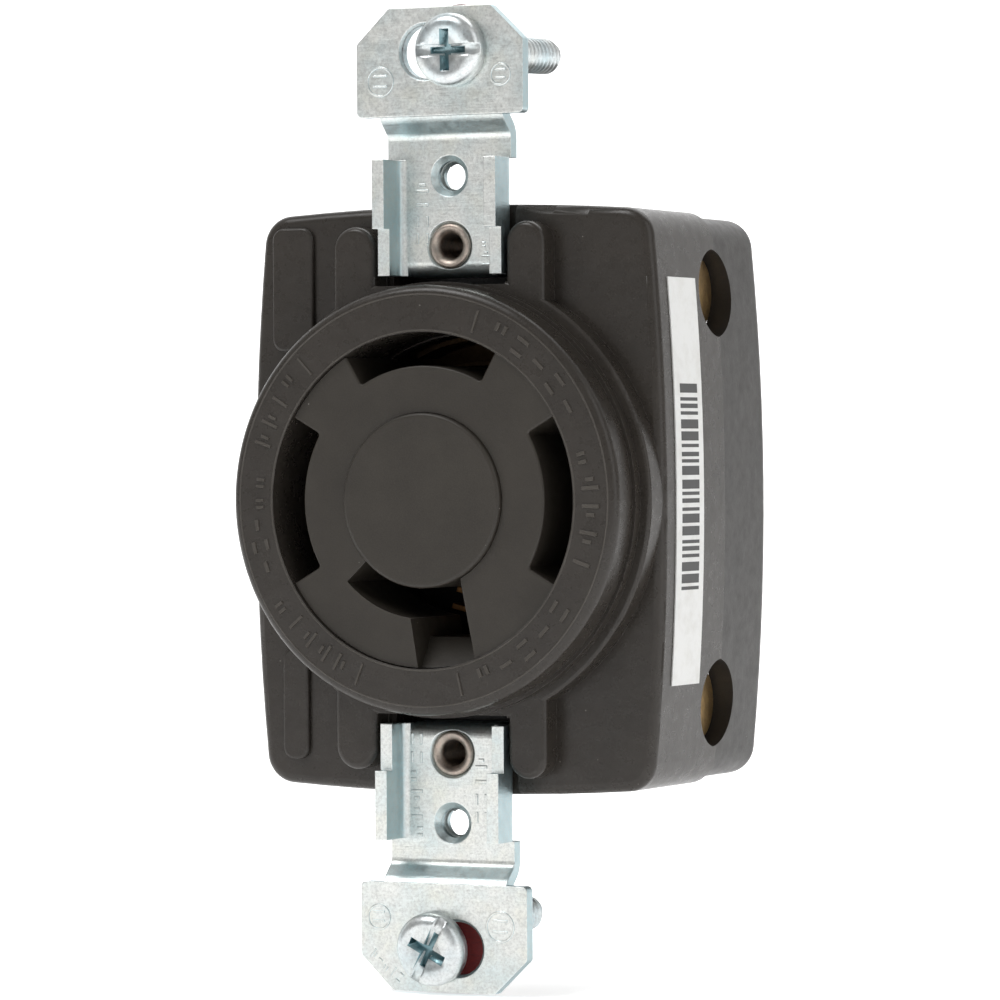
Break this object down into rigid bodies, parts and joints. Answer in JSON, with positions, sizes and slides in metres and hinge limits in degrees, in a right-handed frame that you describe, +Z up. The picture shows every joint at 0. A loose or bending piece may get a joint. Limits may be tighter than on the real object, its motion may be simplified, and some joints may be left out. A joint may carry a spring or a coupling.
{
  "type": "locking receptacle",
  "caption": "Flush locking power receptacle: dark moulded body with a round slotted face and two slotted steel mounting ears.",
  "frame": {"origin": "on the axis of the round face, in the plane of the wall box, the rear face of the mounting ears", "axes": "+X to the right seen from the front, +Y into the wall, +Z up; the face points to -Y"},
  "size_m": [0.043, 0.0321, 0.0918],
  "materials": {
    "phenolic": "semi-gloss moulded",
    "carrier_phenolic": "moulded",
    "contact_brass": "stamped",
    "terminal_brass": "turned",
    "clamp_steel": "plated",
    "zinc_steel": "bright zinc plated",
    "eyelet_nickel": "nickel plated, dull",
    "screw_zinc": "bright zinc plated",
    "red_fibre": "vulcanised fibre",
    "label_paper": "printed film"
  },
  "bodies": {
    "receptacle": {"front_housing": "phenolic", "rear_housing": "phenolic", "face_insert": "phenolic", "centre_core": "phenolic", "contact_carrier": "carrier_phenolic", "upper_contact": "contact_brass", "left_contact": "contact_brass", "right_contact": "contact_brass", "neutral_contact": "contact_brass", "upper_mounting_ear": "zinc_steel", "lower_mounting_ear": "zinc_steel", "upper_eyelet": "eyelet_nickel", "lower_eyelet": "eyelet_nickel", "side_label": "label_paper"},
    "upper_screw_retainer": {"upper_fibre_washer": "red_fibre"},
    "upper_screw": {"upper_mounting_screw": "screw_zinc"},
    "lower_screw_retainer": {"lower_fibre_washer": "red_fibre"},
    "lower_screw": {"lower_mounting_screw": "screw_zinc"},
    "upper_left_clamp": {"upper_left_wire_clamp": "clamp_steel"},
    "upper_left_terminal": {"upper_left_terminal_screw": "terminal_brass"},
    "upper_right_clamp": {"upper_right_wire_clamp": "clamp_steel"},
    "upper_right_terminal": {"upper_right_terminal_screw": "terminal_brass"},
    "lower_left_clamp": {"lower_left_wire_clamp": "clamp_steel"},
    "lower_left_terminal": {"lower_left_terminal_screw": "terminal_brass"},
    "lower_right_clamp": {"lower_right_wire_clamp": "clamp_steel"},
    "lower_right_terminal": {"lower_right_terminal_screw": "terminal_brass"}
  },
  "joints": [
    {"name": "upper_screw_slide", "type": "slide", "parent": "receptacle", "child": "upper_screw_retainer", "axis": [1, 0, 0], "range_m": [-0.0037, 0.0007]},
    {"name": "upper_screw_turn", "type": "hinge", "parent": "upper_screw_retainer", "child": "upper_screw", "pos_m": [0.0015, -0.00138, 0.04167], "axis": [0, -0.9994, -0.0349], "continuous": true},
    {"name": "lower_screw_slide", "type": "slide", "parent": "receptacle", "child": "lower_screw_retainer", "axis": [1, 0, 0], "range_m": [-0.00143, 0.00297]},
    {"name": "lower_screw_turn", "type": "hinge", "parent": "lower_screw_retainer", "child": "lower_screw", "pos_m": [-0.00077, -0.00156, -0.04167], "axis": [0, -0.9962, -0.0872], "continuous": true},
    {"name": "upper_left_clamp_slide", "type": "slide", "parent": "receptacle", "child": "upper_left_clamp", "axis": [-1, 0, 0], "range_m": [-0.00119, 0.00119]},
    {"name": "upper_left_terminal_turn", "type": "hinge", "parent": "upper_left_clamp", "child": "upper_left_terminal", "pos_m": [-0.01685, 0.0154, 0.01925], "axis": [-1, 0, 0], "range_deg": [-540, 540]},
    {"name": "upper_right_clamp_slide", "type": "slide", "parent": "receptacle", "child": "upper_right_clamp", "axis": [1, 0, 0], "range_m": [-0.00119, 0.00119]},
    {"name": "upper_right_terminal_turn", "type": "hinge", "parent": "upper_right_clamp", "child": "upper_right_terminal", "pos_m": [0.01685, 0.0154, 0.01925], "axis": [1, 0, 0], "range_deg": [-540, 540]},
    {"name": "lower_left_clamp_slide", "type": "slide", "parent": "receptacle", "child": "lower_left_clamp", "axis": [-1, 0, 0], "range_m": [-0.00119, 0.00119]},
    {"name": "lower_left_terminal_turn", "type": "hinge", "parent": "lower_left_clamp", "child": "lower_left_terminal", "pos_m": [-0.01685, 0.0154, -0.01925], "axis": [-1, 0, 0], "range_deg": [-540, 540]},
    {"name": "lower_right_clamp_slide", "type": "slide", "parent": "receptacle", "child": "lower_right_clamp", "axis": [1, 0, 0], "range_m": [-0.00119, 0.00119]},
    {"name": "lower_right_terminal_turn", "type": "hinge", "parent": "lower_right_clamp", "child": "lower_right_terminal", "pos_m": [0.01685, 0.0154, -0.01925], "axis": [1, 0, 0], "range_deg": [-540, 540]}
  ],
  "couplings": [
    {"joint": "upper_left_terminal_turn", "follows": "upper_left_clamp_slide", "rad_per_m": 7915.8},
    {"joint": "upper_right_terminal_turn", "follows": "upper_right_clamp_slide", "rad_per_m": 7915.8},
    {"joint": "lower_left_terminal_turn", "follows": "lower_left_clamp_slide", "rad_per_m": 7915.8},
    {"joint": "lower_right_terminal_turn", "follows": "lower_right_clamp_slide", "rad_per_m": 7915.8}
  ]
}
